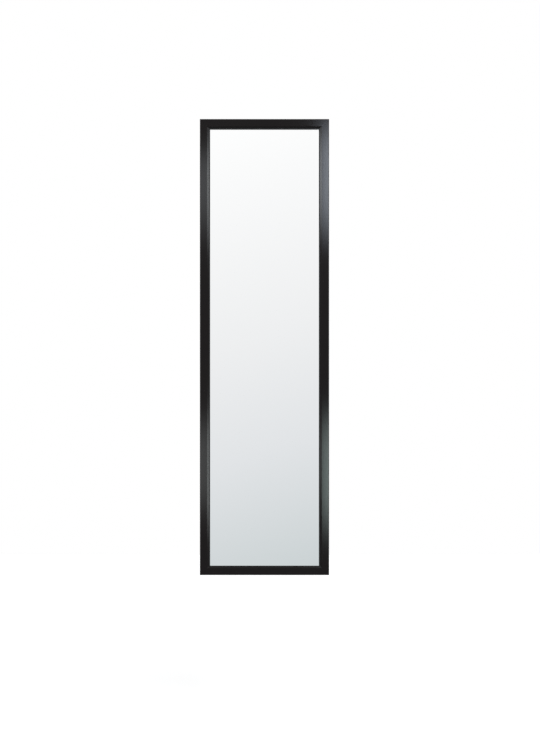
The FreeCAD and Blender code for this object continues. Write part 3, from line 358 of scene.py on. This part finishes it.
def dress_mirror():
    anodised("anodised_stiles", "Z").wear(*STILES)
    anodised("anodised_rails", "X").wear(*RAILS)
    rubber("gasket_rubber_look", tone=0.004, grain=0.5 * MM).wear(*GASKETS)
    silvered_glass().wear("mirror_glass")
    film = plain("film_look", (0.5, 0.52, 0.53), (0.58, 0.6, 0.61), rough=(0.4, 0.5),
                 grain=0.8 * MM, depth=0.03 * MM)
    film.wear("safety_film")
    bead = plain("bead_look", grey(0.012), grey(0.02), rough=(0.38, 0.5), grain=0.6 * MM, depth=0.02 * MM)
    bead.wear(*RETAINING_BEADS)
    key = plain("key_casting_look", grey(0.4), grey(0.48), rough=(0.45, 0.6),
                grain=0.7 * MM, depth=0.05 * MM, metallic=1.0)
    key.wear(*CORNER_KEYS)
    hardboard().wear("backing_board")


def dress_fittings():
    """Hinge, arm, slide and channel."""
    oxide = plain("black_oxide_look", grey(0.02), grey(0.035), rough=(0.32, 0.45),
                  grain=0.5 * MM, depth=0.02 * MM, metallic=0.6)
    oxide.wear("corner_set_screws", "hinge_plate_screws", "pin_circlip")
    nylon = plain("nylon_look", grey(0.014), grey(0.02), rough=(0.5, 0.6),
                  grain=0.35 * MM, depth=0.03 * MM, level=0.4)
    nylon.wear("carriage_stop", "channel_front_cap", "channel_rear_cap")
    acetal = plain("acetal_look", (0.6, 0.58, 0.53), (0.68, 0.66, 0.61), rough=(0.35, 0.45),
                   grain=0.4 * MM, depth=0.01 * MM)
    acetal.wear("swivel_bush_upper", "swivel_bush_lower", "friction_washer_upper", "friction_washer_lower")
    nickel = plain("nickel_look", (0.62, 0.6, 0.56), (0.7, 0.68, 0.64), rough=(0.16, 0.26),
                   grain=0.5 * MM, depth=0.006 * MM, metallic=1.0)
    nickel.wear("catch_magnet")
    ball = plain("ball_look", grey(0.66), grey(0.72), rough=(0.08, 0.14),
                 grain=0.6 * MM, depth=0.001 * MM, metallic=1.0)
    ball.wear("outer_cage_balls", "inner_cage_balls")
    buffer = rubber("buffer_rubber_look", tone=0.012, grain=0.4 * MM)
    buffer.wear("arm_buffer_upper", "arm_buffer_lower", "slide_bumper")
    slide = zinc("zinc_slide_look", (0.6, 0.615, 0.64), (0.66, 0.67, 0.685))
    slide.wear("slide_inner_member", "slide_middle_member", "slide_outer_member")
    slide.wear("outer_ball_cage", "inner_ball_cage")
    fastener = zinc("zinc_fastener_look", (0.56, 0.57, 0.58), (0.68, 0.68, 0.69), stretch=(1, 1, 1))
    fastener.wear("front_nut_strip", "rear_nut_strip", "slide_rivets", "arm_screws")
    pin = zinc("ground_pin_look", (0.52, 0.52, 0.53), (0.6, 0.6, 0.61), stretch=(0.1, 0.1, 1))
    pin.wear("hinge_pin")


# ---- weld beads --------------------------------------------------------------------------------------


def weld_ring(made, place, across, out, half_width):
    """One crescent of a bead: an ellipse whose bulging side lags behind."""
    ring = []
    for k in range(RING_POINTS):
        turn = math.tau * k / RING_POINTS
        spot = (across * math.cos(turn) + out * WELD_RISE * math.sin(turn)) * half_width
        lag = Vector((0, 0, RIPPLE_LAG * RIPPLE * math.sin(turn)))
        ring.append(made.verts.new(place + spot - lag))
    return ring


def weld_bead(name, body, corner, away, low, high, coat):
    """A bead up the corner at (x, y), bulging away from it: overlapping ripples that taper at both ends."""
    made = bmesh.new()
    across, out = Vector((-away[1], away[0], 0)).normalized(), Vector((*away, 0)).normalized()
    steps = round((high - low) / RIPPLE * RINGS_PER_RIPPLE)
    rings = []
    for i in range(steps + 1):
        height = low + (high - low) * i / steps
        taper = min(1.0, min(height - low, high - height) / WELD_HALF_WIDTH + WELD_TIP)
        phase = (height - low) / RIPPLE % 1.0
        swell = 1 + RIPPLE_SWELL * (1 - phase) ** 2 + WANDER_SWELL * math.sin(height * WANDER_TURN)
        half_width = WELD_HALF_WIDTH * math.sqrt(taper) * swell
        rings.append(weld_ring(made, Vector((*corner, height)), across, out, half_width))
    for lower, upper in zip(rings, rings[1:]):
        for k in range(RING_POINTS):
            made.faces.new((lower[k - 1], lower[k], upper[k], upper[k - 1]))
    made.faces.new(rings[0])
    made.faces.new(rings[-1])
    bmesh.ops.recalc_face_normals(made, faces=made.faces)
    mesh = bpy.data.meshes.new(name)
    made.to_mesh(mesh)
    made.free()
    mesh.polygons.foreach_set("use_smooth", [True] * len(mesh.polygons))
    mesh.materials.append(coat.material)
    piece = bpy.data.objects.new(name, mesh)
    scene.collection.objects.link(piece)
    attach(piece, body)


def weld_beads(coat):
    """The barrel is welded to the arm on both sides, and the knuckles to the hinge plate's webs."""
    washer_low, washer_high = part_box("friction_washer_upper")
    axis_x, axis_y = (washer_low[0] + washer_high[0]) / 2, (washer_low[1] + washer_high[1]) / 2
    radius = (washer_high[0] - washer_low[0]) / 2
    barrel = washer_low[2] - BARREL_MARGIN
    knuckle_near = washer_high[2] + KNUCKLE_MARGIN
    knuckle_far = -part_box("pin_circlip")[1][2] - KNUCKLE_MARGIN
    arm_back, arm_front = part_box("slide_inner_member")[0][1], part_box("arm_buffer_upper")[1][1]
    plate_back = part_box("hinge_plate_screws")[1][1]
    for name, body, face, side, low, high in (
        ("weld_bead_barrel_wall_side", "carriage", arm_back, 1, -barrel, barrel),
        ("weld_bead_barrel_room_side", "carriage", arm_front, -1, -barrel, barrel),
        ("weld_bead_upper_knuckle", "mirror", plate_back, 1, knuckle_near, knuckle_far),
        ("weld_bead_lower_knuckle", "mirror", plate_back, 1, -knuckle_far, -knuckle_near),
    ):
        corner_x = axis_x - math.sqrt(radius**2 - (face - axis_y) ** 2)
        weld_bead(name, body, (corner_x, face), (-1, side), low, high, coat)


# ---- floor, world, lamps and camera ------------------------------------------------------------------


def floor():
    corners = [
        (-FLOOR_HALF_WIDTH, FLOOR_FRONT, FLOOR_Z),
        (FLOOR_HALF_WIDTH, FLOOR_FRONT, FLOOR_Z),
        (FLOOR_HALF_WIDTH, FLOOR_BACK, FLOOR_Z),
        (-FLOOR_HALF_WIDTH, FLOOR_BACK, FLOOR_Z),
    ]
    mesh = bpy.data.meshes.new("floor")
    mesh.from_pydata(corners, [], [(0, 1, 2, 3)])
    piece = bpy.data.objects.new("floor", mesh)
    scene.collection.objects.link(piece)
    look = Look("floor_look")
    paint = look.noise(400 * MM)
    look.plug(look.blend(paint, grey(0.81), grey(0.83)), "Base Color")
    look.plug(look.span(paint, 0.7, 0.8), "Roughness")
    lift = look.node("ShaderNodeEmission", {"Strength": look.times(look.camera_ray(), FLOOR_LIFT)})
    lifted = look.node("ShaderNodeAddShader", {0: look.shader.outputs[0], 1: lift.outputs[0]})
    mirrored = look.node("ShaderNodeEmission", {"Color": (*LOW_GREY, 1)})
    shaders = {0: look.shiny_ray(), 1: lifted.outputs[0], 2: mirrored.outputs[0]}
    both = look.node("ShaderNodeMixShader", shaders)
    out = next(n for n in look.tree.nodes if n.type == "OUTPUT_MATERIAL")
    look.tree.links.new(both.outputs[0], out.inputs["Surface"])
    mesh.materials.append(look.material)


def world():
    """White where the camera sees it. Gloss and glass see the same white, greyer towards the floor, and all
    else is lit by a plain grey."""
    made = bpy.data.worlds.new("studio")
    scene.world = made
    made.use_nodes = True
    sky = Nodes(made.node_tree)
    direction = sky.axes(sky.node("ShaderNodeTexCoord").outputs["Generated"])
    lean = sky.span(direction["X"], SKY_LEAN, -SKY_LEAN, -SKY_LEAN_REACH, SKY_LEAN_REACH)
    height = sky.rise(sky.plus(lean, direction["Z"]), SKY_LOW, SKY_HIGH)
    ramp = sky.node("ShaderNodeValToRGB", {"Fac": height})
    while len(ramp.color_ramp.elements) < len(SKY_STOPS):
        ramp.color_ramp.elements.new(0.5)
    for element, (place, colour) in zip(ramp.color_ramp.elements, SKY_STOPS):
        element.position = place
        element.color = (*colour, 1)
    seen = sky.blend(sky.shiny_ray(), AMBIENT, ramp.outputs["Color"])
    colour = sky.blend(sky.camera_ray(), seen, grey(1.0))
    sky.tree.links.new(colour, sky.tree.nodes["Background"].inputs["Color"])


def lamp(kind, name, place, target):
    data = bpy.data.lights.new(name, kind)
    made = bpy.data.objects.new(name, data)
    made.location = place
    made.rotation_euler = (Vector(target) - Vector(place)).to_track_quat("-Z", "Y").to_euler()
    made.visible_camera = False
    scene.collection.objects.link(made)
    return made, data


def broad(name, place, strength, angle):
    """Soft light from far away, which falls evenly on the object and the floor."""
    _, data = lamp("SUN", name, place, (0, 0, 0))
    data.energy, data.angle = strength, angle


def soft_edges(data, left, right, lower, upper):
    """Fades a lamp out towards its edges, as a softbox does: each fade is a share of the lamp's size."""
    data.use_nodes = True
    face = Nodes(data.node_tree)
    place = face.axes(face.node("ShaderNodeNewGeometry").outputs["Parametric"])
    level = 1.0
    for axis, first, last in (("X", left, right), ("Y", lower, upper)):
        level = face.times(level, face.rise(place[axis], 0.0, first, "SMOOTHSTEP"))
        level = face.times(level, face.rise(place[axis], 1.0, 1.0 - last, "SMOOTHSTEP"))
    face.tree.links.new(level, face.tree.nodes["Emission"].inputs["Strength"])


def strip(name, across, up, fades, radiance, tint, receivers):
    """A soft strip that faces the mirror. It shows in gloss and doesn't light matt surfaces."""
    wide, tall = across[1] - across[0], up[1] - up[0]
    middle_x, middle_z = sum(across) / 2, sum(up) / 2
    made, data = lamp("AREA", "strip_" + name, (middle_x, STRIP_Y, middle_z), (middle_x, 0, middle_z))
    data.shape, data.size, data.size_y = "RECTANGLE", wide, tall
    data.energy, data.color = radiance * wide * tall * math.pi, tint
    soft_edges(data, STRIP_FADE / wide, STRIP_FADE / wide, fades[0] / tall, fades[1] / tall)
    made.visible_diffuse = False
    made.light_linking.receiver_collection = receivers


def lamps():
    broad("key", (2.0, -3.2, 3.6), strength=1.5, angle=0.7)
    broad("fill", (-3.0, -2.4, 2.4), strength=0.5, angle=0.9)
    broad("back", (-1.2, 2.4, 3.4), strength=1.05, angle=0.9)
    receivers = {}
    for name, lit in STRIP_RECEIVERS.items():
        receivers[name] = bpy.data.collections.new(name + "_lit")
        for node in lit:
            receivers[name].objects.link(nodes[node])
    for name, (across, up, fades, radiance, tint, lit) in STRIPS.items():
        strip(name, across, up, fades, radiance, tint, receivers[lit])


def camera():
    """Square on to the glass, so that the frame stays a rectangle."""
    face_y = cad_box[0][1]
    data = bpy.data.cameras.new("camera")
    data.sensor_width = CAMERA_SENSOR
    data.lens = CAMERA_SENSOR * CAMERA_AWAY / VIEW_HEIGHT
    made = bpy.data.objects.new("camera", data)
    made.location = (CAMERA_X, face_y - CAMERA_AWAY, CAMERA_Z)
    made.rotation_euler = (math.pi / 2, 0, 0)
    scene.collection.objects.link(made)
    scene.camera = made


dress_mirror()
dress_fittings()
coat = powder_coat().wear("hinge_plate", "swivel_arm", "wall_channel")
weld_beads(coat)
floor()
world()
lamps()
camera()
scene.view_settings.view_transform = "Standard"
